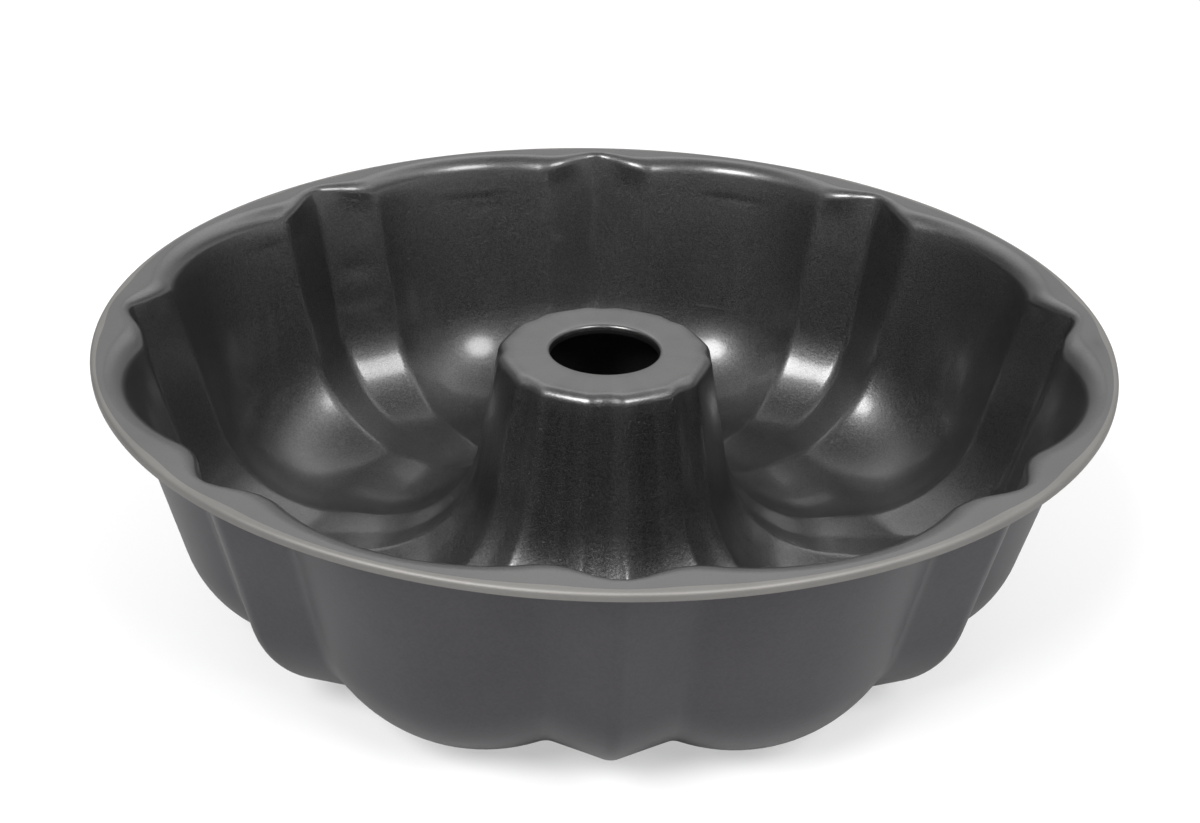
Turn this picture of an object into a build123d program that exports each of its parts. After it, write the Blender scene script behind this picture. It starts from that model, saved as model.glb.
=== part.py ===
from build123d import *
import os
from math import cos, radians, sin, tan

# Fluted ring cake mould, drawn in one piece from coated sheet steel.
# Eight wide rounded lobes take turns with eight narrow flutes of V section.  Every lobe and
# flute runs without a break from the rim, down the wall, across the floor and up the hollow
# tube in the middle.  Millimetres and degrees, +Z up.  The origin is at the centre of the
# circle that the mould stands on, and a flute lies on +X and on +Y.
# Bend radii are inside radii, on whichever face of the sheet is the hollow one.

# The blank and its turned-down lip
sheet = 0.8
rim_radius = 130.0
lip_bend_radius = 0.2
lip_straight = 1.0

# The pattern round the mould
lobe_count = 8
flute_half_angle = 8.5
crease_reach = 1.3

# The flange, as its width from the rim to where each wall's slope would meet it
lobe_flange = 6.9
corner_flange = 11.7
apex_flange = 5.6
lobe_rim_bend = 4.5
corner_rim_bend = 5.1
apex_rim_bend = 0.9

# The wall and the floor, with each line's rise above the lobes' lowest line
wall_draft = 12.3
cavity_depth = 73.2
corner_rise = 3.6
apex_rise = 3.0
floor_bend = 32.5

# The tube, with the width of its top from the hole to where each side's slope would meet it
tube_drop = 11.4
lobe_top_width = 13.3
corner_top_width = 13.9
apex_top_width = 12.9
tube_draft = 10.7
tube_foot_bend = 31.3
tube_edge_bend = 2.4

# The pierced hole in the tube's top, with its edge turned down into a collar
hole_radius = 14.6
hole_bend_radius = 0.2
collar_straight = 1.6

# The part of its room that a bend may fill, and where a lobe's sections stand
bend_room_share = 0.95
lobe_station_shares = (-1.0, -0.5, 0.0, 0.5, 1.0)
level_tolerance = 0.001

# Worked out from the sizes above
pitch = 360.0 / lobe_count
corner_angle = pitch / 2 - flute_half_angle
rim_z = cavity_depth + sheet
tube_z = rim_z - tube_drop
rim_flat = rim_radius - lip_bend_radius - sheet
hole_flat = hole_radius + hole_bend_radius + sheet


def point(angle, radius, z):
    """A point in the upright half plane that stands at an angle round the axis."""
    return Vector(radius * cos(radians(angle)), radius * sin(radians(angle)), z)


def arc_between(angle, centre, radius, start, end):
    """An arc in that half plane, from one direction to another, in degrees from outwards."""
    spots = []
    for turn in (start, (start + end) / 2, end):
        out = centre[0] + radius * cos(radians(turn))
        up = centre[1] + radius * sin(radians(turn))
        spots.append(point(angle, out, up))
    return Edge.make_three_point_arc(*spots)


def mixed(first, second, share):
    """The value that lies that share of the way from the first to the second."""
    return first + (second - first) * share


def lobe_radius(angle, middle, corner):
    """A lobe's radius off its middle: the chord between its corners, and a rounded rise."""
    chord = corner * cos(radians(corner_angle))
    share = (tan(radians(angle)) / tan(radians(corner_angle))) ** 2
    return chord / cos(radians(angle)) + (middle - chord) * (1 - share)


def flank_radius(angle, apex, corner):
    """A flank's radius off its flute's middle: on the straight line from apex to corner."""
    across = apex * sin(radians(angle)) + corner * sin(radians(flute_half_angle - angle))
    return apex * corner * sin(radians(flute_half_angle)) / across


def sharp_sizes(angle):
    """Wall radius, rim bend, depth and tube radius at an angle from a lobe's middle."""
    corner_wall = rim_radius - corner_flange
    corner_tube = hole_radius + corner_top_width
    corner_depth = cavity_depth - corner_rise
    from_middle = abs((angle + pitch / 2) % pitch - pitch / 2)
    if from_middle <= corner_angle:
        share = (from_middle / corner_angle) ** 2
        wall = lobe_radius(from_middle, rim_radius - lobe_flange, corner_wall)
        tube = lobe_radius(from_middle, hole_radius + lobe_top_width, corner_tube)
        rim_bend = mixed(lobe_rim_bend, corner_rim_bend, share)
        depth = mixed(cavity_depth, corner_depth, share)
    else:
        from_apex = pitch / 2 - from_middle
        share = from_apex / flute_half_angle
        wall = flank_radius(from_apex, rim_radius - apex_flange, corner_wall)
        tube = flank_radius(from_apex, hole_radius + apex_top_width, corner_tube)
        rim_bend = mixed(apex_rim_bend, corner_rim_bend, share)
        depth = mixed(cavity_depth - apex_rise, corner_depth, share)
    return wall, rim_bend, depth, tube


def crease_sizes(angle):
    """The same sizes on the middle line of a crease, which is rounded between its two sides."""
    before = sharp_sizes(angle - crease_reach)
    sharp = sharp_sizes(angle)
    after = sharp_sizes(angle + crease_reach)
    rounded = []
    for first, middle, last in zip(before, sharp, after):
        rounded.append(mixed(mixed(first, last, 1 / 2), middle, 1 / 2))
    return rounded


def fitted(radius, width_share, room):
    """A bend's radius, cut back where it would take more than its part of the room."""
    return min(radius, bend_room_share * room / width_share)


def meridian(angle, sizes, skin):
    """One face's line from rim to tube; skin is its depth in the sheet, 0 on the baking face."""
    wall, rim_bend, depth, tube = sizes
    slope = tan(radians(wall_draft))
    tube_slope = tan(radians(tube_draft))
    wall_width = 1 / cos(radians(wall_draft)) - slope
    tube_width = 1 / cos(radians(tube_draft)) - tube_slope
    floor_z = rim_z - depth
    tube_height = tube_z - floor_z
    over = fitted(rim_bend + sheet, wall_width, rim_flat - wall)
    edge = fitted(tube_edge_bend + sheet, tube_width, tube - hole_flat)
    floor_width = wall - depth * slope - tube - tube_height * tube_slope
    floor_taken = floor_bend * wall_width + tube_foot_bend * tube_width
    cut = min(1, fitted(floor_taken, 1, floor_width) / floor_taken)
    bend = cut * fitted(floor_bend, 1, depth - over)
    foot = cut * fitted(tube_foot_bend, 1, tube_height - edge)
    centres = (
        (wall + over * wall_width, rim_z - over),
        (wall - (depth - bend) * slope - bend / cos(radians(wall_draft)), floor_z + bend),
        (tube + (tube_height - foot) * tube_slope + foot / cos(radians(tube_draft)), floor_z + foot),
        (tube - edge * tube_width, tube_z - edge),
    )
    arcs = (
        arc_between(angle, centres[0], over - skin, 90, 180 - wall_draft),
        arc_between(angle, centres[1], bend + skin, -wall_draft, -90),
        arc_between(angle, centres[2], foot + skin, -90, -180 + tube_draft),
        arc_between(angle, centres[3], edge - skin, tube_draft, 90),
    )
    edges = [arcs[0]]
    for before, after in zip(arcs, arcs[1:]):
        edges.append(Edge.make_line(before @ 1, after @ 0))
        edges.append(after)
    return Wire(edges)


def strip(turn, angles, size_rules, skin):
    """One face of the sheet between two sections of a pattern unit, through those between."""
    sections = []
    for angle, size_rule in zip(angles, size_rules):
        sections.append(meridian(turn + angle, size_rule(angle), skin))
    return Shell.make_loft(sections).faces()


def pattern_unit(turn, skin):
    """One face of a lobe, the flute after it and the rounded creases between them."""
    lobe_end = corner_angle - crease_reach
    lobe_angles = []
    for share in lobe_station_shares:
        lobe_angles.append(share * lobe_end)
    sides = (sharp_sizes, sharp_sizes)
    rounded = (sharp_sizes, crease_sizes, sharp_sizes)
    faces = strip(turn, lobe_angles, [sharp_sizes] * len(lobe_angles), skin)
    creases = (corner_angle, pitch / 2, pitch - corner_angle)
    for crease in creases:
        angles = (crease - crease_reach, crease, crease + crease_reach)
        faces += strip(turn, angles, rounded, skin)
    for start, end in zip(creases, creases[1:]):
        faces += strip(turn, (start + crease_reach, end - crease_reach), sides, skin)
    return faces


def fluted_skin(skin):
    """One face of the sheet all the way round, from the rim bend to the tube's edge."""
    faces = []
    for index in range(lobe_count):
        faces += pattern_unit((index + 1 / 2) * pitch, skin)
    return faces


def level_loop(faces, height):
    """The closed line in which a skin's faces end at one height."""
    edges = []
    low = height - level_tolerance
    high = height + level_tolerance
    for face in faces:
        edges += face.edges().filter_by_position(Axis.Z, low, high)
    return Wire(edges)


def circle_at(radius, z):
    """A level circle round the axis."""
    return Wire(Edge.make_circle(radius, Plane.XY.offset(z)))


def turned_edge(flat_radius, top, bend, straight, outward):
    """The faces of an edge bent down from a level face, outward 1 or towards the axis -1."""
    side = 90 - 90 * outward
    centre = (flat_radius, top - bend - sheet)
    over = arc_between(0, centre, bend + sheet, 90, side)
    under = arc_between(0, centre, bend, side, 90)
    outer_foot = (over @ 1) - Vector(0, 0, straight)
    inner_foot = (under @ 0) - Vector(0, 0, straight)
    profile = (
        over,
        Edge.make_line(over @ 1, outer_foot),
        Edge.make_line(outer_foot, inner_foot),
        Edge.make_line(inner_foot, under @ 0),
        under,
    )
    return Shell.revolve(Wire(profile), 360, Axis.Z).faces()


def mould_shell():
    """The whole pressing as one closed solid."""
    faces = []
    for skin in (0, sheet):
        fluted = fluted_skin(skin)
        rim_level = rim_z - skin
        tube_level = tube_z - skin
        faces += fluted
        faces.append(Face(circle_at(rim_flat, rim_level), [level_loop(fluted, rim_level)]))
        faces.append(Face(level_loop(fluted, tube_level), [circle_at(hole_flat, tube_level)]))
    faces += turned_edge(rim_flat, rim_z, lip_bend_radius, lip_straight, 1)
    faces += turned_edge(hole_flat, tube_z, hole_bend_radius, collar_straight, -1)
    return Solid(Shell(faces))


def main():
    os.makedirs("parts", exist_ok=True)
    shell = mould_shell()
    export_step(shell, "parts/mould_shell.step")
    print("mould_shell", round(shell.volume, 1), shell.is_valid, len(shell.faces()))


main()
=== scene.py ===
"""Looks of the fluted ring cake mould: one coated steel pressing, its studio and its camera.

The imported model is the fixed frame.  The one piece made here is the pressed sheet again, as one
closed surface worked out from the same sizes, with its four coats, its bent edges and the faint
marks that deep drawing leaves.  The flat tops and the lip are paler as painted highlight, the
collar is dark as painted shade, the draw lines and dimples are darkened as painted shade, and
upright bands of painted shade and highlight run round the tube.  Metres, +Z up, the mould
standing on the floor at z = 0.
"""

import logging
import math
from collections.abc import Callable
from dataclasses import dataclass, field
from enum import Enum

import bpy
import numpy as np
from mathutils import Matrix, Vector


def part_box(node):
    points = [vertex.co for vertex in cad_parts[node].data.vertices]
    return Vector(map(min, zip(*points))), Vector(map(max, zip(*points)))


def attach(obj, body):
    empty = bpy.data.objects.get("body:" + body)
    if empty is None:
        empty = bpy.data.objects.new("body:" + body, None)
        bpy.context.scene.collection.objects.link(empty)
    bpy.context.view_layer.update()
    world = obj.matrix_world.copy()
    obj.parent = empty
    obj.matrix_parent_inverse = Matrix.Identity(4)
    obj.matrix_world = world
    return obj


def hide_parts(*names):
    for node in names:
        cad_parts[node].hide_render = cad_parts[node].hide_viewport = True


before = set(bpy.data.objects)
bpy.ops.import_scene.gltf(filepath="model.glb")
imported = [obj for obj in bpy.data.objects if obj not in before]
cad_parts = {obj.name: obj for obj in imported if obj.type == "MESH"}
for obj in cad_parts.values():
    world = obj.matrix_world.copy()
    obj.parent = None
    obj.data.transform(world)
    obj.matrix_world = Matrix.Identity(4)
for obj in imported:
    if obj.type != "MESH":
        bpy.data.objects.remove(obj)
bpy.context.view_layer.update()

MM = 0.001
SHELL_NODE = "mould_shell"
BODY = "root"
FLAT_SHARE = "flat_share"
UV_PER_METRE = 10
WHITE = (1.0, 1.0, 1.0, 1.0)
log = logging.getLogger("cake_mould")

Tree = bpy.types.NodeTree
Socket = bpy.types.NodeSocket
Value = float | Socket


class Zone(Enum):
    """The stretches of the sheet that have a coat of their own, the lip's paler as painted highlight
    and the collar's dark as painted shade; the value is the material's place.
    """

    BAKING_FACE = 0
    LIP = 1
    OUTSIDE = 2
    COLLAR = 3


@dataclass
class FlutePattern:
    """The eight lobes and eight V flutes, as sizes of the sheet's section at any angle.

    Lengths are metres and angles are degrees.  The fields repeat the part's own sizes, apart from
    those on how far each crease is rounded, which are closer to the photograph than the part's
    one reach, and those on the softer line that the creases take at the flange.
    """

    rim_radius: float
    rim_z: float
    hole_radius: float = 14.6 * MM
    lobe_count: int = 8
    flute_half_angle: float = 8.5

    # How far each side of a crease its rounding reaches, on the walls and floor and on the tube
    crease_reach: float = 1.0
    tube_reach: float = 3.4

    # The softer line at the flange, where corners sit further in and apexes less far out
    rim_half_angle: float = 6.9
    rim_reach: float = 2.3
    corner_tuck: float = 1.0 * MM
    apex_push: float = 1.3 * MM

    # The flange's widths and bends, the rises of the lowest line and the widths of the tube's top
    lobe_flange: float = 6.9 * MM
    corner_flange: float = 11.7 * MM
    apex_flange: float = 5.6 * MM
    lobe_rim_bend: float = 4.5 * MM
    corner_rim_bend: float = 5.1 * MM
    apex_rim_bend: float = 0.9 * MM
    corner_rise: float = 3.6 * MM
    apex_rise: float = 3.0 * MM
    lobe_top_width: float = 13.3 * MM
    corner_top_width: float = 13.9 * MM
    apex_top_width: float = 12.9 * MM

    # Columns of the grid on each lobe, crease and flank
    lobe_steps: int = 20
    crease_steps: int = 6
    flank_steps: int = 5
    angle_digits: int = 6

    @property
    def pitch(self) -> float:
        """Degrees from one lobe to the next."""
        return 360.0 / self.lobe_count

    @property
    def corner_angle(self) -> float:
        """Degrees from a lobe's middle to its corner."""
        return self.pitch / 2 - self.flute_half_angle

    def column_angles(self) -> np.ndarray:
        """Angles of the grid's columns, closer together on the creases.

        Returns:
            Degrees round the axis from +X, rising, one turn in all.
        """
        corner, reach = self.corner_angle, self.crease_reach
        stops = [-corner + reach, corner - reach]
        for crease in (corner, self.pitch / 2, self.pitch - corner):
            stops += [crease - reach, crease + reach]
        stops = sorted(set(round(stop, self.angle_digits) for stop in stops))
        steps = [self.lobe_steps] + [self.crease_steps, self.flank_steps] * 2 + [self.crease_steps]
        runs = []
        for start, end, count in zip(stops, stops[1:], steps):
            runs.append(np.linspace(start, end, count, endpoint=False))
        unit = np.concatenate(runs)
        middles = (np.arange(self.lobe_count) + 0.5) * self.pitch
        return (middles[:, None] + unit[None, :]).ravel()

    def radius_at(self, angle: np.ndarray, middle: float, at_corner: float, apex: float,
                  corner_angle: float) -> np.ndarray:
        """A radius round the pattern, with sharp creases.

        On a lobe it is the chord between the corners plus a rise that falls off with the square of
        the tangent of the angle; on a flank it follows the straight line from corner to apex.

        Args:
            angle: degrees from the middle of a lobe, at most half a pitch.
            middle: radius at the lobe's middle.
            at_corner: radius at its corners.
            apex: radius at the flute's apex.
            corner_angle: degrees from the middle of a lobe to its corners.

        Returns:
            The radius at each angle.
        """
        corner = math.radians(corner_angle)
        half_flute = math.radians(self.pitch / 2 - corner_angle)
        turn = np.radians(angle)
        chord = at_corner * math.cos(corner)
        fall = (np.tan(turn) / math.tan(corner)) ** 2
        on_lobe = chord / np.cos(turn) + (middle - chord) * (1 - fall)
        off_apex = math.radians(self.pitch / 2) - turn
        across = apex * np.sin(off_apex) + at_corner * np.sin(half_flute - off_apex)
        on_flank = apex * at_corner * math.sin(half_flute) / across
        return np.where(turn <= corner, on_lobe, on_flank)

    def sharp_sizes(self, angle: np.ndarray) -> np.ndarray:
        """Sizes of the section with sharp creases.

        Args:
            angle: degrees from the middle of a lobe; past the apex it counts back.

        Returns:
            Rows of wall radius, rim bend, rise of the lowest line and tube radius.
        """
        half, corner = self.pitch / 2, self.corner_angle
        angle = half - np.abs(half - angle)
        lobe = angle <= corner
        share = np.where(lobe, (angle / corner) ** 2, (half - angle) / self.flute_half_angle)
        bend = np.where(lobe, self.lobe_rim_bend, self.apex_rim_bend)
        rise = np.where(lobe, 0.0, self.apex_rise)
        rim, hole = self.rim_radius, self.hole_radius
        return np.array([
            self.radius_at(angle, rim - self.lobe_flange, rim - self.corner_flange,
                           rim - self.apex_flange, corner),
            bend + (self.corner_rim_bend - bend) * share,
            rise + (self.corner_rise - rise) * share,
            self.radius_at(angle, hole + self.lobe_top_width, hole + self.corner_top_width,
                           hole + self.apex_top_width, corner),
        ])

    def sharp_rim(self, angle: np.ndarray) -> np.ndarray:
        """Wall radius at the flange before its softer creases are rounded, as one row.

        Args:
            angle: degrees from the middle of a lobe; past the apex it counts back.

        Returns:
            One row of wall radius.
        """
        half, rim = self.pitch / 2, self.rim_radius
        angle = half - np.abs(half - angle)
        at_corner = rim - self.corner_flange - self.corner_tuck
        apex = rim - self.apex_flange + self.apex_push
        row = self.radius_at(angle, rim - self.lobe_flange, at_corner, apex, half - self.rim_half_angle)
        return row[None, :]

    def rounded(self, angle: np.ndarray, sharp: Callable, corner_angle: float,
                reach: float) -> np.ndarray:
        """Sizes with their creases rounded over a reach.

        Near a crease each size is the quadratic Bezier curve of its sharp values before, on and
        after the crease.

        Args:
            angle: degrees from the middle of a lobe, at most half a pitch.
            sharp: the method that gives the sharp sizes at an angle.
            corner_angle: degrees from the middle of a lobe to its corners.
            reach: degrees on each side of a crease that the rounding takes.

        Returns:
            The same rows as the sharp sizes.
        """
        found = sharp(angle)
        for crease in (corner_angle, self.pitch / 2):
            share = (angle - crease + reach) / (2 * reach)
            before, middle, after = sharp(crease + reach * np.array([-1.0, 0.0, 1.0])).T
            curve = (np.outer(before, (1 - share) ** 2) + np.outer(middle, 2 * share * (1 - share))
                     + np.outer(after, share ** 2))
            found = np.where(np.abs(angle - crease) <= reach, curve, found)
        return found

    def sizes(self, azimuth: np.ndarray) -> np.ndarray:
        """Sizes of the section round the mould, with the tube's creases rounded over a longer reach.

        Args:
            azimuth: degrees round the axis from +X.

        Returns:
            Rows of wall radius, rim bend, rise of the lowest line and tube radius.
        """
        angle = np.abs(azimuth % self.pitch - self.pitch / 2)
        wall_rows = self.rounded(angle, self.sharp_sizes, self.corner_angle, self.crease_reach)
        tube_rows = self.rounded(angle, self.sharp_sizes, self.corner_angle, self.tube_reach)
        return np.concatenate([wall_rows[:-1], tube_rows[-1:]])

    def rim_shift(self, azimuth: np.ndarray) -> np.ndarray:
        """How far the wall's radius moves at the flange, where the creases are softer.

        Args:
            azimuth: degrees round the axis from +X.

        Returns:
            Metres outwards, one for each column.
        """
        angle = np.abs(azimuth % self.pitch - self.pitch / 2)
        corner_angle = self.pitch / 2 - self.rim_half_angle
        soft = self.rounded(angle, self.sharp_rim, corner_angle, self.rim_reach)
        return soft[0] - self.sizes(azimuth)[0]


@dataclass(frozen=True)
class Chords:
    """Numbers of chords along one face of the sheet, from the lip to the hole."""

    lip_bend: int
    flange: int
    rim_bend: int
    wall: int
    floor_bend: int
    floor: int
    tube_foot: int
    tube_side: int
    tube_edge: int
    tube_top: int
    hole_bend: int


@dataclass
class SheetSection:
    """The closed line round the sheet's section, from the lip to the tube's collar and back.

    Lengths are metres and angles are degrees.  The sizes are the part's, apart from the bends of
    the cut edges and the depth and width over which the softer line at the flange fades out.
    """

    pattern: FlutePattern
    sheet: float = 0.8 * MM
    lip_bend: float = 0.2 * MM
    lip_straight: float = 1.0 * MM
    wall_draft: float = 12.3
    floor_bend: float = 32.5 * MM
    tube_drop: float = 11.4 * MM
    tube_draft: float = 10.7
    tube_foot_bend: float = 31.3 * MM
    tube_edge_bend: float = 2.4 * MM
    hole_bend: float = 0.2 * MM
    collar_straight: float = 1.6 * MM
    cut_edge_bend: float = 0.12 * MM
    soft_depth: float = 8.0 * MM
    soft_width: float = 4.0 * MM
    bend_room_share: float = 0.95
    inner: Chords = Chords(lip_bend=7, flange=6, rim_bend=16, wall=14, floor_bend=28, floor=3,
                           tube_foot=24, tube_side=9, tube_edge=12, tube_top=5, hole_bend=8)
    outer: Chords = Chords(lip_bend=3, flange=4, rim_bend=12, wall=12, floor_bend=22, floor=3,
                           tube_foot=17, tube_side=7, tube_edge=9, tube_top=4, hole_bend=5)
    cut_edge_steps: int = 2
    turned_edge_steps: int = 3
    bend_flatness: float = 0.5
    rows: list = field(default_factory=list)
    zones: list = field(default_factory=list)
    flats: list = field(default_factory=list)

    def put(self, radius: np.ndarray, height: np.ndarray, zone: Zone, flat: float) -> None:
        """Adds rows of the grid.

        Args:
            radius: rows of distances from the axis, a column for each angle.
            height: rows of heights.
            zone: the finish of the faces that start at these rows.
            flat: how far the rows lie on the pressed-flat flange or tube top, 0 to 1.
        """
        self.rows.append(np.stack([radius, height], -1))
        self.zones += [zone] * len(radius)
        self.flats += [flat] * len(radius)

    def arc(self, centre: tuple, radius: float | np.ndarray, start: float, end: float, steps: int,
            zone: Zone, flat: float = 0.0) -> None:
        """An arc with both its ends: the centre plus the radius along each direction.

        Args:
            centre: radius and height of the arc's centre, a value for each column.
            radius: the arc's own radius.
            start: first direction in degrees from outwards.
            end: last direction.
            steps: number of chords.
            zone: the finish.
            flat: see put.
        """
        turn = np.radians(np.linspace(start, end, steps + 1))[:, None]
        self.put(centre[0] + radius * np.cos(turn), centre[1] + radius * np.sin(turn), zone, flat)

    def line_to(self, radius: float | np.ndarray, height: float | np.ndarray, steps: int,
                zone: Zone, flat: float = 0.0) -> None:
        """Rows between the last row and a point, with neither end.

        Args:
            radius: distance of the point from the axis.
            height: its height.
            steps: number of chords.
            zone: the finish.
            flat: see put.
        """
        last = self.rows[-1][-1]
        share = (np.arange(1, steps) / steps)[:, None]
        radii = last[None, :, 0] + (radius - last[None, :, 0]) * share
        heights = last[None, :, 1] + (height - last[None, :, 1]) * share
        self.put(radii, heights, zone, flat)

    def fitted(self, radius: float | np.ndarray, width: float, room: np.ndarray) -> np.ndarray:
        """A bend's radius, cut back where it would take more than its part of the room."""
        return np.minimum(radius, self.bend_room_share * room / width)

    def bends(self, azimuth: np.ndarray) -> list:
        """The six bends of the section, each as centre radius, centre height and bend radius.

        Args:
            azimuth: degrees round the axis, one for each column.

        Returns:
            Rim bend, floor bend, tube foot and tube edge with their radii on the baking face, then
            lip bend and hole bend with theirs on the outer face.
        """
        wall, rim_bend, rise, tube = self.pattern.sizes(azimuth)
        rim_z = self.pattern.rim_z
        slope = math.tan(math.radians(self.wall_draft))
        tube_slope = math.tan(math.radians(self.tube_draft))
        wall_cos = math.cos(math.radians(self.wall_draft))
        tube_cos = math.cos(math.radians(self.tube_draft))
        wall_width, tube_width = 1 / wall_cos - slope, 1 / tube_cos - tube_slope
        depth = rim_z - self.sheet - rise
        floor_z, tube_z = rim_z - depth, rim_z - self.tube_drop
        tube_height = tube_z - floor_z
        over = self.fitted(rim_bend + self.sheet, wall_width, self.rim_flat - wall)
        edge = self.fitted(self.tube_edge_bend + self.sheet, tube_width, tube - self.hole_flat)
        floor_width = wall - depth * slope - tube - tube_height * tube_slope
        taken = self.floor_bend * wall_width + self.tube_foot_bend * tube_width
        cut = np.minimum(1, self.fitted(taken, 1, floor_width) / taken)
        bend = cut * self.fitted(self.floor_bend, 1, depth - over)
        foot = cut * self.fitted(self.tube_foot_bend, 1, tube_height - edge)
        level = np.ones_like(azimuth)
        lip_z, hole_z = rim_z - self.sheet - self.lip_bend, tube_z - self.sheet - self.hole_bend
        return [
            (wall + over * wall_width, rim_z - over, over),
            (wall - (depth - bend) * slope - bend / wall_cos, floor_z + bend, bend),
            (tube + (tube_height - foot) * tube_slope + foot / tube_cos, floor_z + foot, foot),
            (tube - edge * tube_width, tube_z - edge, edge),
            (self.rim_flat * level, lip_z * level, self.lip_bend),
            (self.hole_flat * level, hole_z * level, self.hole_bend),
        ]

    def softened(self, azimuth: np.ndarray, line: np.ndarray) -> np.ndarray:
        """The section with its rim moved to where softer creases would put it.

        The move is whole at the flange's inner edge.  It fades out down the wall as a smooth step
        over the soft depth, and in a straight line across the flange over the soft width.

        Args:
            azimuth: degrees round the axis, one for each column.
            line: rows, columns and the pair of radius and height.

        Returns:
            The moved section.
        """
        radius, height = line[..., 0], line[..., 1]
        down = np.clip((height - self.pattern.rim_z) / self.soft_depth + 1, 0, 1)
        across = np.clip((self.rim_flat - radius) / self.soft_width, 0, 1)
        move = self.pattern.rim_shift(azimuth) * down ** 2 * (3 - 2 * down) * across
        return np.stack([radius + move, height], -1)

    @property
    def rim_flat(self) -> float:
        """Radius at which the level flange starts to bend down into the lip."""
        return self.pattern.rim_radius - self.lip_bend - self.sheet

    @property
    def hole_flat(self) -> float:
        """Radius at which the level tube top starts to bend down into the collar."""
        return self.pattern.hole_radius + self.hole_bend + self.sheet

    @staticmethod
    def end_of(bend: tuple, radius: np.ndarray, direction: float) -> tuple:
        """The point of a bend in one direction from its centre, as radius and height."""
        turn = math.radians(direction)
        return bend[0] + radius * math.cos(turn), bend[1] + radius * math.sin(turn)

    def loop(self, azimuth: np.ndarray) -> np.ndarray:
        """The whole closed line: lip, baking face, collar and back along the outer face.

        Each bend is an arc and each straight joins two arcs.  On the outer face the bends that
        bulge away from it are smaller by the sheet's thickness, and the others larger.

        Args:
            azimuth: degrees round the axis, one for each column.

        Returns:
            An array of rows, columns and the pair of radius and height.
        """
        bends = self.bends(azimuth)
        self.inner_face(bends)
        self.outer_face(bends)
        return self.softened(azimuth, np.concatenate(self.rows))

    def inner_face(self, bends: list) -> None:
        """The line from the lip's cut edge over the baking face to the collar's cut edge.

        Args:
            bends: see bends.
        """
        over, bend, foot, top, lip, hole = bends
        wall_in, wall_end = 180 - self.wall_draft, -self.wall_draft
        tube_in, tube_end = -180 + self.tube_draft, self.tube_draft
        inside, steps, edge = Zone.BAKING_FACE, self.inner, self.cut_edge_bend
        lip_outer, hole_outer = self.sheet + lip[2], self.sheet + hole[2]
        lip_side, lip_edge = lip[0] + lip_outer, lip[1] - self.lip_straight + edge
        hole_side, hole_edge = hole[0] - hole_outer, hole[1] - self.collar_straight + edge

        self.arc((lip_side - edge, lip_edge), edge, -90, 0, self.cut_edge_steps, Zone.LIP)
        self.line_to(lip_side, lip[1], self.turned_edge_steps, Zone.LIP)
        self.arc(lip[:2], lip_outer, 0, 90, steps.lip_bend, Zone.LIP, 1.0)
        self.line_to(over[0], over[1] + over[2], steps.flange, inside, 1.0)
        self.arc(over[:2], over[2], 90, wall_in, steps.rim_bend, inside, self.bend_flatness)
        self.line_to(*self.end_of(bend, bend[2], wall_end), steps.wall, inside)
        self.arc(bend[:2], bend[2], wall_end, -90, steps.floor_bend, inside)
        self.line_to(*self.end_of(foot, foot[2], -90), steps.floor, inside)
        self.arc(foot[:2], foot[2], -90, tube_in, steps.tube_foot, inside)
        self.line_to(*self.end_of(top, top[2], tube_end), steps.tube_side, inside)
        self.arc(top[:2], top[2], tube_end, 90, steps.tube_edge, inside, self.bend_flatness)
        self.line_to(hole[0], hole[1] + hole_outer, steps.tube_top, inside, 1.0)
        self.arc(hole[:2], hole_outer, 90, 180, steps.hole_bend, inside, 1.0)
        # The collar takes its own dark coat, which is painted shade.
        self.line_to(hole_side, hole_edge, self.turned_edge_steps, Zone.COLLAR)
        self.arc((hole_side + edge, hole_edge), edge, 180, 270, self.cut_edge_steps, Zone.COLLAR)

    def outer_face(self, bends: list) -> None:
        """The line from the collar's cut edge back along the outer face to the lip's cut edge.

        Args:
            bends: see bends.
        """
        over, bend, foot, top, lip, hole = bends
        wall_in, wall_end = 180 - self.wall_draft, -self.wall_draft
        tube_in, tube_end = -180 + self.tube_draft, self.tube_draft
        steps, sheet, edge, outside = self.outer, self.sheet, self.cut_edge_bend, Zone.OUTSIDE
        lip_side, lip_edge = lip[0] + lip[2], lip[1] - self.lip_straight + edge
        hole_side, hole_edge = hole[0] - hole[2], hole[1] - self.collar_straight + edge

        self.arc((hole_side - edge, hole_edge), edge, -90, 0, self.cut_edge_steps, outside)
        self.arc(hole[:2], hole[2], 180, 90, steps.hole_bend, outside)
        self.line_to(top[0], top[1] + top[2] - sheet, steps.tube_top, outside)
        self.arc(top[:2], top[2] - sheet, 90, tube_end, steps.tube_edge, outside)
        self.line_to(*self.end_of(foot, foot[2] + sheet, tube_in), steps.tube_side, outside)
        self.arc(foot[:2], foot[2] + sheet, tube_in, -90, steps.tube_foot, outside)
        self.line_to(*self.end_of(bend, bend[2] + sheet, -90), steps.floor, outside)
        self.arc(bend[:2], bend[2] + sheet, -90, wall_end, steps.floor_bend, outside)
        self.line_to(*self.end_of(over, over[2] - sheet, wall_in), steps.wall, outside)
        self.arc(over[:2], over[2] - sheet, wall_in, 90, steps.rim_bend, outside)
        self.line_to(lip[0], lip[1] + lip[2], steps.flange, outside)
        self.arc(lip[:2], lip[2], 90, 0, steps.lip_bend, outside)
        self.arc((lip_side + edge, lip_edge), edge, 180, 270, self.cut_edge_steps, outside)


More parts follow.
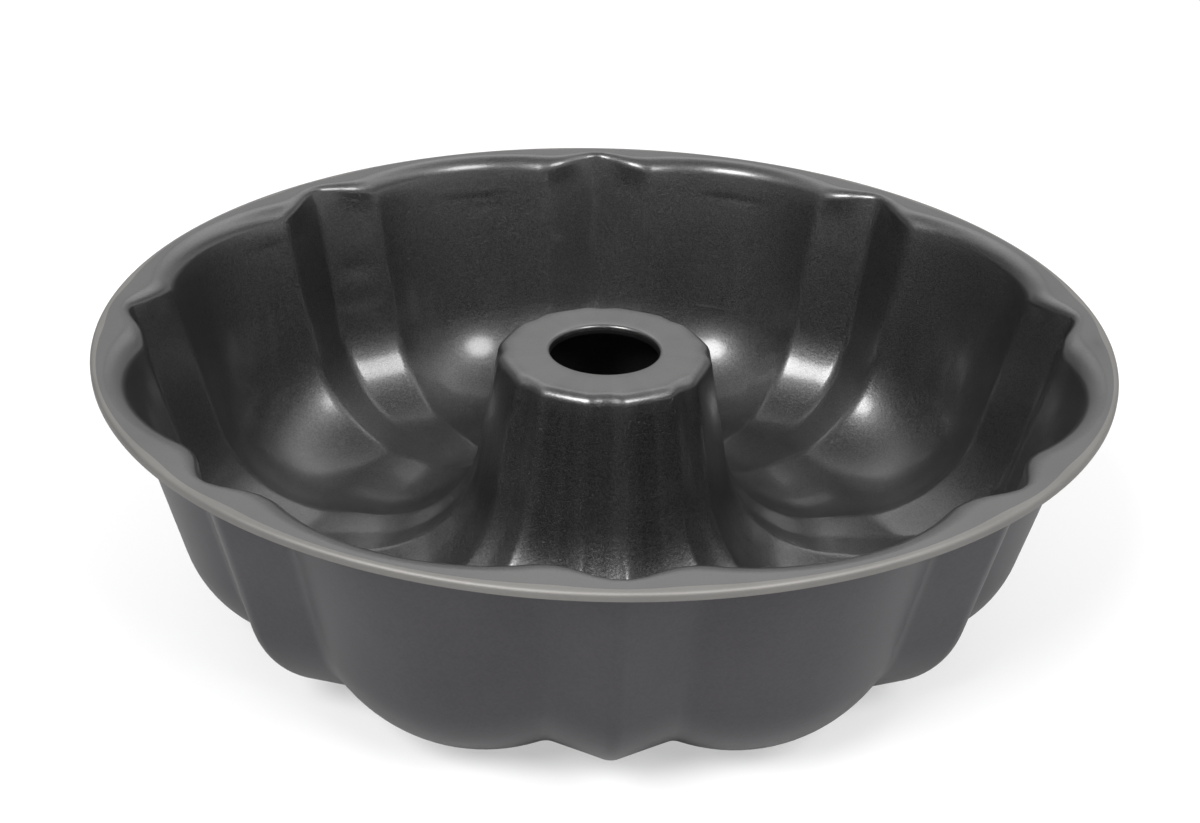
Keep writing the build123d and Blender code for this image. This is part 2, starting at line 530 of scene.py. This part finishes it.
@dataclass
class PressedShell:
    """The mould itself: one closed sheet surface on a grid of sections and columns."""

    section: SheetSection
    name: str = "pressed_shell"

    def places(self) -> np.ndarray:
        """Vertex positions: each section's line turned to its column's angle.

        Returns:
            An array of rows, columns and X, Y, Z.
        """
        azimuth = self.section.pattern.column_angles()
        line = self.section.loop(azimuth)
        turn = np.radians(azimuth)[None, :]
        radius, height = line[..., 0], line[..., 1]
        return np.stack([radius * np.cos(turn), radius * np.sin(turn), height], -1)

    def build(self) -> bpy.types.Object:
        """Makes the mesh: a quad between each pair of rows and columns, closed both ways.

        Returns:
            The finished object, at the origin.
        """
        places = self.places()
        rows, columns = places.shape[:2]
        number = np.arange(rows * columns).reshape(rows, columns)
        below, beside = np.roll(number, -1, 0), np.roll(number, -1, 1)
        corner = np.roll(below, -1, 1)
        quads = np.stack([number, beside, corner, below], -1).reshape(-1, 4)
        mesh = bpy.data.meshes.new(self.name)
        mesh.vertices.add(rows * columns)
        mesh.vertices.foreach_set("co", places.reshape(-1).astype(np.float32))
        mesh.loops.add(quads.size)
        mesh.loops.foreach_set("vertex_index", quads.reshape(-1).astype(np.int32))
        mesh.polygons.add(len(quads))
        mesh.polygons.foreach_set("loop_start", np.arange(0, quads.size, 4, dtype=np.int32))
        mesh.update(calc_edges=True)
        mesh.polygons.foreach_set("use_smooth", np.ones(len(quads), bool))
        self.add_map(mesh, places)
        self.add_shares(mesh, columns)
        shell = bpy.data.objects.new(self.name, mesh)
        bpy.context.scene.collection.objects.link(shell)
        log.info("%s: %d rows, %d columns, %d faces", self.name, rows, columns, len(quads))
        return shell

    def add_map(self, mesh: bpy.types.Mesh, places: np.ndarray) -> None:
        """The UV map: U is the share of a turn, V the length along the section in tenths of a metre.

        Args:
            mesh: the mesh to map.
            places: its vertex positions on the grid.
        """
        step = np.linalg.norm(np.roll(places, -1, 0) - places, axis=-1).mean(1)
        length = np.concatenate([[0.0], np.cumsum(step)]) * UV_PER_METRE
        turn = np.linspace(0.0, 1.0, places.shape[1] + 1)
        low_v, low_u = np.meshgrid(length[:-1], turn[:-1], indexing="ij")
        high_v, high_u = np.meshgrid(length[1:], turn[1:], indexing="ij")
        across = np.stack([low_u, high_u, high_u, low_u], -1)
        along = np.stack([low_v, low_v, high_v, high_v], -1)
        corners = np.stack([across, along], -1)
        layer = mesh.uv_layers.new(name="sheet")
        layer.data.foreach_set("uv", corners.reshape(-1).astype(np.float32))

    def add_shares(self, mesh: bpy.types.Mesh, columns: int) -> None:
        """The flange share at each vertex, and each face's material.

        Args:
            mesh: the mesh to mark.
            columns: number of columns of its grid.
        """
        share = np.repeat(np.array(self.section.flats, np.float32), columns)
        mesh.attributes.new(FLAT_SHARE, "FLOAT", "POINT").data.foreach_set("value", share)
        place = np.array([zone.value for zone in self.section.zones], np.int32)
        mesh.polygons.foreach_set("material_index", np.repeat(place, columns))

    def dress(self, shell: bpy.types.Object, coats: dict, effects: "Effects") -> None:
        """Gives the mould its materials, one for each zone and in the zones' order.

        Args:
            shell: the built object.
            coats: the coat of each zone.
            effects: the node groups that the coats share.
        """
        for zone in Zone:
            shell.data.materials.append(coats[zone].material(effects))
        log.info("%s: %d coats", self.name, len(coats))


def new_group(name: str, inputs: dict, outputs: tuple) -> tuple:
    """Starts a shader node group with named sockets.

    Args:
        name: the group's name.
        inputs: default value of each input, by name; a tuple makes a vector input.
        outputs: name of each output, which are all plain values.

    Returns:
        The group, its input node and its output node.
    """
    group = bpy.data.node_groups.new(name, "ShaderNodeTree")
    for socket, value in inputs.items():
        kind = "NodeSocketVector" if isinstance(value, tuple) else "NodeSocketFloat"
        group.interface.new_socket(socket, in_out="INPUT", socket_type=kind).default_value = value
    for socket in outputs:
        group.interface.new_socket(socket, in_out="OUTPUT", socket_type="NodeSocketFloat")
    return group, group.nodes.new("NodeGroupInput"), group.nodes.new("NodeGroupOutput")


def feed(tree: Tree, socket: Socket, value: Value | tuple) -> None:
    """Sets an input to a number or a vector, or links it to a socket.

    Args:
        tree: where the socket's node is.
        socket: the input.
        value: what it is given.
    """
    if isinstance(value, Socket):
        tree.links.new(value, socket)
    else:
        socket.default_value = value


def feed_all(tree: Tree, node: bpy.types.Node, values: dict) -> None:
    """Feeds inputs of a node by name.

    Args:
        tree: where the node is.
        node: the node.
        values: what each input is given.
    """
    for name, value in values.items():
        feed(tree, node.inputs[name], value)


def math_node(tree: Tree, operation: str, *values: Value) -> Socket:
    """A Math node whose inputs are numbers or sockets.

    Args:
        tree: where the node goes.
        operation: Blender's name of the sum.
        values: its inputs in order, as many as the sum has.

    Returns:
        The node's output socket.
    """
    node = tree.nodes.new("ShaderNodeMath")
    node.operation = operation
    for socket, value in zip(node.inputs, values):
        feed(tree, socket, value)
    return node.outputs[0]


def vector_node(tree: Tree, operation: str, *values: Value | tuple) -> bpy.types.Node:
    """A Vector Math node whose inputs are vectors or sockets.

    Args:
        tree: where the node goes.
        operation: Blender's name of the sum.
        values: its inputs in order, as many as the sum has.

    Returns:
        The node, whose output is its Vector or its Value.
    """
    node = tree.nodes.new("ShaderNodeVectorMath")
    node.operation = operation
    for socket, value in zip(node.inputs, values):
        feed(tree, socket, value)
    return node


def ramp_between(tree: Tree, value: Socket, low: float, high: float,
                 to_low: float = 0.0, to_high: float = 1.0) -> Socket:
    """A smooth step: value from low to high becomes to_low to to_high.

    Args:
        tree: where the node goes.
        value: the socket that is mapped.
        low: lower end of the input.
        high: upper end of the input.
        to_low: what the lower end becomes.
        to_high: what the upper end becomes.

    Returns:
        The node's output socket.
    """
    node = tree.nodes.new("ShaderNodeMapRange")
    node.interpolation_type = "SMOOTHSTEP"
    feed_all(tree, node, {"Value": value, "From Min": low, "From Max": high,
                          "To Min": to_low, "To Max": to_high})
    return node.outputs["Result"]


def noise(tree: Tree, place: Socket, scale: Value, detail: float) -> Socket:
    """A noise texture, as a value of 0 to 1.

    Args:
        tree: where the node goes.
        place: the coordinate socket.
        scale: waves per unit, a number or a socket.
        detail: layers of finer noise.

    Returns:
        The node's value socket.
    """
    node = tree.nodes.new("ShaderNodeTexNoise")
    feed_all(tree, node, {"Vector": place, "Scale": scale, "Detail": detail})
    return node.outputs["Fac"]


def flake_grain_group() -> Tree:
    """Metal flakes in a sprayed coat, and the wider clouds in which they thin out and crowd.

    The tone is half a random value per flake and half a mottle a little coarser than the flakes.

    Returns:
        The node group.
    """
    mottle_share, mottle_scale, layers = 0.5, 0.45, 3.0
    group, given, result = new_group(
        "flake_grain", {"Flake Size": 0.4 * MM, "Cloud Size": 20 * MM}, ("Tone", "Cloud"))
    place = group.nodes.new("ShaderNodeTexCoord").outputs["Object"]
    fine = math_node(group, "DIVIDE", 1.0, given.outputs["Flake Size"])
    cells = group.nodes.new("ShaderNodeTexVoronoi")
    feed_all(group, cells, {"Vector": place, "Scale": fine})
    shade = group.nodes.new("ShaderNodeSeparateColor")
    feed(group, shade.inputs["Color"], cells.outputs["Color"])
    mottle = noise(group, place, math_node(group, "MULTIPLY", fine, mottle_scale), layers)
    flake_part = math_node(group, "MULTIPLY", shade.outputs["Red"], 1 - mottle_share)
    tone = math_node(group, "MULTIPLY_ADD", mottle, mottle_share, flake_part)
    coarse = math_node(group, "DIVIDE", 1.0, given.outputs["Cloud Size"])
    feed_all(group, result, {"Tone": tone, "Cloud": noise(group, place, coarse, layers)})
    return group


def painted_band_shading_group() -> Tree:
    """Faint upright light and dark bands on the tube, by direction round the axis only: painted shade
    and highlight for the tube's soft flutes.

    Returns:
        The node group; its band shade is centred on nought and fades out off the tube.
    """
    whole_within, gone_beyond, layers = 45 * MM, 75 * MM, 2.0
    group, given, result = new_group("painted_band_shading", {"Bands": 4.0}, ("Band Shade",))
    place = group.nodes.new("ShaderNodeTexCoord").outputs["Object"]
    level = vector_node(group, "MULTIPLY", place, (1.0, 1.0, 0.0)).outputs["Vector"]
    way = vector_node(group, "NORMALIZE", level).outputs["Vector"]
    radius = vector_node(group, "LENGTH", level).outputs["Value"]
    band = noise(group, way, given.outputs["Bands"], layers)
    near = ramp_between(group, radius, whole_within, gone_beyond, 1.0, 0.0)
    band_shade = math_node(group, "MULTIPLY", math_node(group, "SUBTRACT", band, 0.5), near)
    feed(group, result.inputs["Band Shade"], band_shade)
    return group


def press_mark_group() -> Tree:
    """One bell-shaped mark: the exponential of minus half the square of the distance in reaches.

    The centre is in metres, the turn in radians, and the reach is outwards, round the axis and up.

    Returns:
        The node group.
    """
    sockets = {"Centre": (0.0, 0.0, 0.0), "Turn": (0.0, 0.0, 0.0), "Reach": (MM, MM, MM)}
    group, given, result = new_group("press_mark", sockets, ("Bell",))
    inside = group.nodes.new("ShaderNodeMapping")
    inside.vector_type = "TEXTURE"
    feed(group, inside.inputs["Vector"], group.nodes.new("ShaderNodeTexCoord").outputs["Object"])
    for source, target in (("Centre", "Location"), ("Turn", "Rotation"), ("Reach", "Scale")):
        feed(group, inside.inputs[target], given.outputs[source])
    spot = inside.outputs["Vector"]
    square = vector_node(group, "DOT_PRODUCT", spot, spot).outputs["Value"]
    bell = math_node(group, "EXPONENT", math_node(group, "MULTIPLY", square, -0.5))
    feed(group, result.inputs["Bell"], bell)
    return group


def placed_group(tree: Tree, group: Tree, values: dict) -> bpy.types.Node:
    """A node group placed in a material with values of its own.

    Args:
        tree: the material's nodes.
        group: the node group.
        values: value of each input that is set, by name.

    Returns:
        The group's node.
    """
    node = tree.nodes.new("ShaderNodeGroup")
    node.node_tree = group
    feed_all(tree, node, values)
    return node


@dataclass
class Effects:
    """The node groups that the coats share, each built once."""

    grain: Tree = field(default_factory=flake_grain_group)
    streaks: Tree = field(default_factory=painted_band_shading_group)
    mark: Tree = field(default_factory=press_mark_group)


@dataclass(frozen=True)
class PressMark:
    """A faint dent, draw line or rub that the press and the kitchen left in the coat.

    Lengths are metres; push is its height out of the sheet and tone its gain of brightness, which is
    painted shade where it is below nought, along the draw lines and dimples.
    """

    azimuth: float
    radius: float
    height: float
    push: float
    reach_round: float
    reach_along: float
    tone: float = 0.0

    def add(self, tree: Tree, group: Tree) -> Socket:
        """Puts the mark into a material.

        Args:
            tree: the material's nodes.
            group: the press mark group.

        Returns:
            The socket of its bell.
        """
        turn = math.radians(self.azimuth)
        across, ahead = self.radius * math.cos(turn), self.radius * math.sin(turn)
        reach = (self.reach_along, self.reach_round, self.reach_along)
        sockets = {"Centre": (across, ahead, self.height), "Turn": (0.0, 0.0, turn), "Reach": reach}
        return placed_group(tree, group, sockets).outputs["Bell"]


@dataclass(frozen=True)
class Coat:
    """A baked coat on drawn steel: flakes under a thin clear film.

    The flakes give a broad metallic reflection with a grain, the film a narrower one on top.
    Where the press has held the sheet flat, the coat has a gloss of its own and a paler colour that
    is painted highlight on the flat tops, and keeps all but the calm share of its grain.  Upright
    bands on the tube in its colour are painted shade and highlight.
    """

    name: str
    colour: tuple
    roughness: float
    tone_spread: float
    roughness_spread: float
    flake_size: float
    flake_height: float
    cloud_size: float = 20 * MM
    cloud_spread: float = 0.3
    flat_painted_highlight_colour: tuple = ()
    flat_roughness: float = 0.2
    flat_calm: float = 0.8
    metallic: float = 0.85
    film_weight: float = 1.0
    film_roughness: float = 0.13
    film_ior: float = 1.5
    streaks: float = 0.0
    marks: tuple = ()

    def material(self, effects: Effects) -> bpy.types.Material:
        """The finish as a metallic surface whose tone, gloss and grain vary.

        Args:
            effects: the node groups that the coats share.

        Returns:
            The material.
        """
        made = bpy.data.materials.new(self.name)
        made.use_nodes = True
        tree = made.node_tree
        shader = tree.nodes["Principled BSDF"]
        feed_all(tree, shader, {"Metallic": self.metallic, "Coat Weight": self.film_weight,
                                "Coat Roughness": self.film_roughness, "Coat IOR": self.film_ior})
        flat =tree.nodes.new("ShaderNodeAttribute")
        flat.attribute_name = FLAT_SHARE
        on_flat = flat.outputs["Fac"]
        sizes = {"Flake Size": self.flake_size, "Cloud Size": self.cloud_size}
        flakes = placed_group(tree, effects.grain, sizes)
        grain = math_node(tree, "SUBTRACT", flakes.outputs["Tone"], 0.5)

        keep = math_node(tree, "MULTIPLY_ADD", on_flat, -self.flat_calm, 1.0)
        gain = self.flake_gain(tree, on_flat, grain, flakes.outputs["Cloud"])
        # Upright bands on the tube: painted shade and highlight for its soft flutes.
        band_shade = placed_group(tree, effects.streaks, {}).outputs["Band Shade"]
        band = math_node(tree, "MULTIPLY", keep, self.streaks)
        gain = math_node(tree, "MULTIPLY_ADD", band_shade, band, gain)
        lift = math_node(tree, "MULTIPLY", flakes.outputs["Tone"], keep)
        lift = math_node(tree, "MULTIPLY", lift, self.flake_height)
        # Each mark's tone goes into the colour; the darker tone of the draw lines and dimples is
        # painted shade.
        for mark in self.marks:
            bell = mark.add(tree, effects.mark)
            gain = math_node(tree, "MULTIPLY_ADD", bell, mark.tone, gain)
            lift = math_node(tree, "MULTIPLY_ADD", bell, mark.push, lift)

        # The flat tops take the paler flat colour: painted highlight where they face the light.
        hue_with_painted_highlight = tree.nodes.new("ShaderNodeMix")
        hue_with_painted_highlight.data_type = "RGBA"
        feed_all(tree, hue_with_painted_highlight, {"Factor": on_flat, "A": (*self.colour, 1.0),
                             "B": (*(self.flat_painted_highlight_colour or self.colour), 1.0)})
        toned = vector_node(tree, "SCALE", hue_with_painted_highlight.outputs["Result"])
        feed(tree, toned.inputs["Scale"], gain)
        feed(tree, shader.inputs["Base Color"], toned.outputs["Vector"])

        gloss = ramp_between(tree, on_flat, 0.0, 1.0, self.roughness, self.flat_roughness)
        varied = math_node(tree, "MULTIPLY_ADD", grain, self.roughness_spread, gloss)
        feed(tree, shader.inputs["Roughness"], varied)

        bump = tree.nodes.new("ShaderNodeBump")
        feed_all(tree, bump, {"Distance": 1.0, "Height": lift})
        feed(tree, shader.inputs["Normal"], bump.outputs["Normal"])
        return made

    def flake_gain(self, tree: Tree, on_flat: Socket, grain: Socket, cloud: Socket) -> Socket:
        """The gain of tone: one, plus the grain off the flat parts, plus the clouds.

        Args:
            tree: the material's nodes.
            on_flat: the flange share.
            grain: the flakes' tone, centred on nought.
            cloud: the flakes' clouds, 0 to 1.

        Returns:
            The socket of the gain.
        """
        off_flat = math_node(tree, "SUBTRACT", 1.0, on_flat)
        spread = math_node(tree, "MULTIPLY", off_flat, self.tone_spread)
        gain = math_node(tree, "MULTIPLY_ADD", grain, spread, 1.0)
        cloud = math_node(tree, "SUBTRACT", cloud, 0.5)
        return math_node(tree, "MULTIPLY_ADD", cloud, self.cloud_spread, gain)


# Dents in the walls, draw lines, a nick, a rub and two dimples on the flange, each as azimuth,
# radius, height, push, reach round the mould, reach along the section and gain of tone; the
# draw lines and the dimples are darker as painted shade of their ripples
BAKING_FACE_MARKS = (
    PressMark(131.1, 0.1155, 0.0476, -0.00036, 0.0032, 0.0024),
    PressMark(132.1, 0.1140, 0.0376, -0.00030, 0.0036, 0.0022),
    PressMark(108.5, 0.1201, 0.0622, -0.00012, 0.0110, 0.0009, -0.45),
    PressMark(106.0, 0.1200, 0.0590, -0.00009, 0.0080, 0.0011, -0.3),
    PressMark(68.7, 0.1207, 0.0633, -0.00012, 0.0100, 0.0009, -0.4),
    PressMark(146.0, 0.1180, 0.0640, -0.00010, 0.0090, 0.0010, -0.3),
    PressMark(96.4, 0.1139, 0.0481, 0.00006, 0.0016, 0.0008, 0.4),
    PressMark(70.7, 0.1126, 0.0271, 0.00003, 0.0050, 0.0003, 0.5),
    PressMark(-9.8, 0.1226, 0.0738, 0.00010, 0.0030, 0.0011, -0.15),
    PressMark(-7.7, 0.1264, 0.0740, -0.00008, 0.0026, 0.0010, -0.2),
)


def mould_coats() -> dict:
    """The coat of each zone of the sheet.

    Returns:
        The coats by zone.
    """
    return {
        # The baking coat's paler flat colour is painted highlight on the flange and the tube top.
        Zone.BAKING_FACE: Coat(
            "baking_coat", (0.084, 0.0832, 0.084), roughness=0.37, tone_spread=0.9,
            roughness_spread=0.12, flake_size=0.32 * MM, flake_height=0.11 * MM,
            flat_painted_highlight_colour=(0.118, 0.117, 0.1165), flat_roughness=0.34, metallic=0.93,
            film_weight=0.65, film_roughness=0.165, streaks=1.6, marks=BAKING_FACE_MARKS),
        # The lip's paleness is painted highlight: the light that its turned-down face catches.
        Zone.LIP: Coat(
            "lip_painted_highlight_coat", (0.23, 0.223, 0.213), roughness=0.6, tone_spread=0.1,
            roughness_spread=0.05, flake_size=0.5 * MM, flake_height=0.004 * MM,
            flat_roughness=0.6, film_weight=0.2, film_roughness=0.5),
        Zone.OUTSIDE: Coat(
            "outside_coat", (0.072, 0.0687, 0.0752), roughness=0.4, tone_spread=0.25,
            roughness_spread=0.05, flake_size=0.6 * MM, flake_height=0.01 * MM,
            metallic=0.8, film_weight=0.3, film_roughness=0.25),
        # The collar's near-black colour is painted shade: the dark inside the tube.
        Zone.COLLAR: Coat(
            "collar_painted_shade_coat", (0.03, 0.03, 0.03), roughness=0.5, tone_spread=0.1,
            roughness_spread=0.05, flake_size=0.5 * MM, flake_height=0.004 * MM,
            film_weight=0.1, film_roughness=0.4),
    }


@dataclass
class SoftBox:
    """A round studio lamp that looks at the mould from an azimuth and an elevation."""

    name: str
    azimuth: float
    elevation: float
    distance: float
    width: float
    radiance: float

    def build(self, target: Vector) -> None:
        """Makes the lamp and turns it to the target.

        A flat lamp's power is its radiance times its area times pi.

        Args:
            target: the point that it faces.
        """
        turn, rise = math.radians(self.azimuth), math.radians(self.elevation)
        way = Vector((math.sin(turn) * math.cos(rise), math.cos(turn) * math.cos(rise), math.sin(rise)))
        data = bpy.data.lights.new(self.name, "AREA")
        data.shape = "DISK"
        data.size = self.width
        data.energy = self.radiance * (self.width * math.pi / 2) ** 2
        lamp = bpy.data.objects.new(self.name, data)
        lamp.location = target + way * self.distance
        lamp.rotation_mode = "QUATERNION"
        lamp.rotation_quaternion = way.to_track_quat("Z", "Y")
        bpy.context.scene.collection.objects.link(lamp)


@dataclass
class Studio:
    """The pale floor, the soft surround, the lamps and the camera."""

    rim_radius: float
    rim_z: float
    lamps: tuple = (
        SoftBox("left_soft_box", -142.0, 46.0, distance=1.6, width=0.64, radiance=21.0),
        SoftBox("right_soft_box", 142.0, 46.0, distance=1.6, width=0.64, radiance=13.0),
    )
    floor_side: float = 6.0
    floor_colour: tuple = (0.5, 0.5, 0.5)
    floor_lift: float = 0.48

    # The surround's level on each side, at each ring of directions with the same Z
    rings: tuple = (0.0, 0.4, 0.75, 1.0)
    surround_front: tuple = (0.46, 0.04, 0.02, 0.25)
    surround_right: tuple = (1.45, 0.04, 1.9, 0.25)
    surround_back: tuple = (0.32, 0.62, 2.2, 0.25)
    surround_left: tuple = (0.35, 0.04, 0.9, 0.25)
    least_level_part: float = 1e-6

    # The camera's lens in the photograph's pixels, its distance in rim radii and its turns in
    # radians, apart from the turn of the nearest flute off the camera's line, in degrees
    image_width: float = 1200.0
    focal_pixels: float = 1596.0
    sensor_width: float = 36.0
    near_clip: float = 0.01
    far_clip: float = 20.0
    distance_share: float = 3.226
    elevation: float = 0.4285
    roll: float = -0.0271
    pan: float = 0.0019
    tilt: float = -0.0639
    flute_turn: float = 2.10

    def build(self) -> None:
        """Makes everything round the mould."""
        self.floor()
        self.surround()
        for lamp in self.lamps:
            lamp.build(Vector((0.0, 0.0, self.rim_z / 2)))
        self.camera()
        bpy.context.scene.view_settings.view_transform = "Standard"

    def floor(self) -> None:
        """A level pale floor at z = 0, which keeps the mould's shadow."""
        half = self.floor_side / 2
        corners = [(-half, -half, 0.0), (half, -half, 0.0), (half, half, 0.0), (-half, half, 0.0)]
        mesh = bpy.data.meshes.new("studio_floor")
        mesh.from_pydata(corners, [], [(0, 1, 2, 3)])
        paint = bpy.data.materials.new("pale_floor")
        paint.use_nodes = True
        tree = paint.node_tree
        seen = tree.nodes.new("ShaderNodeLightPath").outputs["Is Camera Ray"]
        lift = math_node(tree, "MULTIPLY", seen, self.floor_lift)
        feed_all(tree, tree.nodes["Principled BSDF"], {
            "Base Color": (*self.floor_colour, 1.0), "Roughness": 1.0, "Specular IOR Level": 0.0,
            "Emission Color": WHITE, "Emission Strength": lift})
        mesh.materials.append(paint)
        floor = bpy.data.objects.new("studio_floor", mesh)
        bpy.context.scene.collection.objects.link(floor)

    def surround(self) -> None:
        """The soft light from all round, with plain white in its place where the camera sees it."""
        world = bpy.data.worlds.new("studio_surround")
        bpy.context.scene.world = world
        world.use_nodes = True
        tree = world.node_tree
        light = tree.nodes["Background"]
        feed_all(tree, light, {"Color": WHITE, "Strength": self.surround_level(tree)})
        white = tree.nodes.new("ShaderNodeBackground")
        feed(tree, white.inputs["Color"], WHITE)
        path = tree.nodes.new("ShaderNodeLightPath")
        pick = tree.nodes.new("ShaderNodeMixShader")
        feed(tree, pick.inputs[0], path.outputs["Is Camera Ray"])
        feed(tree, pick.inputs[1], light.outputs[0])
        feed(tree, pick.inputs[2], white.outputs[0])
        feed(tree, tree.nodes["World Output"].inputs["Surface"], pick.outputs[0])

    def surround_level(self, tree: Tree) -> Socket:
        """The surround's level in a direction, of its own on each side and at each height.

        A side's share of a direction is the square of how far the direction points to that side,
        over the square of its level part; the four shares add up to one.

        Args:
            tree: the world's nodes.

        Returns:
            The socket of the level.
        """
        axes = tree.nodes.new("ShaderNodeSeparateXYZ")
        feed(tree, axes.inputs[0], tree.nodes.new("ShaderNodeTexCoord").outputs["Generated"])
        across, ahead = axes.outputs["X"], axes.outputs["Y"]
        across_square = math_node(tree, "MULTIPLY", across, across)
        level_part = math_node(tree, "MULTIPLY_ADD", ahead, ahead, across_square)
        level_part = math_node(tree, "MAXIMUM", level_part, self.least_level_part)
        sides = ((across, 1.0, self.surround_right), (across, -1.0, self.surround_left),
                 (ahead, 1.0, self.surround_back), (ahead, -1.0, self.surround_front))
        total = 0.0
        for axis, sign, levels in sides:
            part = math_node(tree, "MAXIMUM", math_node(tree, "MULTIPLY", axis, sign), 0.0)
            share = math_node(tree, "DIVIDE", math_node(tree, "MULTIPLY", part, part), level_part)
            glow = self.height_curve(tree, axes.outputs["Z"], levels)
            total = math_node(tree, "MULTIPLY_ADD", share, glow, total)
        return total

    def height_curve(self, tree: Tree, height: Socket, levels: tuple) -> Value:
        """The level of light at a height of the direction, straight between the rings.

        Args:
            tree: the world's nodes.
            height: socket of the direction's Z.
            levels: strength at each ring.

        Returns:
            The socket of the strength.
        """
        total = levels[0]
        for low, high, start, end in zip(self.rings, self.rings[1:], levels, levels[1:]):
            step = tree.nodes.new("ShaderNodeMapRange")
            feed_all(tree, step, {"Value": height, "From Min": low, "From Max": high,
                                  "To Max": end - start})
            total = math_node(tree, "ADD", step.outputs["Result"], total)
        return total

    def camera(self) -> None:
        """The camera that took the photograph, as fitted to the rim, the hole and the flutes.

        It looks at the middle of the rim from its distance in rim radii, and is then turned a
        little about its own up axis (pan), its right axis (tilt) and its line of sight (roll).
        """
        data = bpy.data.cameras.new("photo_camera")
        data.sensor_width = self.sensor_width
        data.sensor_fit = "HORIZONTAL"
        data.lens = self.focal_pixels / self.image_width * self.sensor_width
        data.clip_start, data.clip_end = self.near_clip, self.far_clip
        camera = bpy.data.objects.new("photo_camera", data)
        away = self.distance_share * self.rim_radius
        eye = Vector((0.0, -away * math.cos(self.elevation), away * math.sin(self.elevation)))
        spin = Matrix.Rotation(-math.radians(self.flute_turn), 4, "Z")
        place = Matrix.Translation((0.0, 0.0, self.rim_z)) @ spin @ Matrix.Translation(eye)
        look = Matrix.Rotation(math.pi / 2 - self.elevation, 4, "X")
        for axis, angle in (("Y", self.pan), ("X", self.tilt), ("Z", -self.roll)):
            look = look @ Matrix.Rotation(angle, 4, axis)
        camera.matrix_world = place @ look
        bpy.context.scene.collection.objects.link(camera)
        bpy.context.scene.camera = camera


def main() -> None:
    """Builds the pressed shell, dresses it and sets up the studio."""
    logging.basicConfig(level=logging.INFO, format="%(name)s: %(message)s")
    _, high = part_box(SHELL_NODE)
    pattern = FlutePattern(rim_radius=high.x, rim_z=high.z)
    mould = PressedShell(SheetSection(pattern))
    shell = mould.build()
    mould.dress(shell, mould_coats(), Effects())
    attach(shell, BODY)
    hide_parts(SHELL_NODE)
    Studio(rim_radius=high.x, rim_z=high.z).build()


if __name__ == "__main__":
    main()
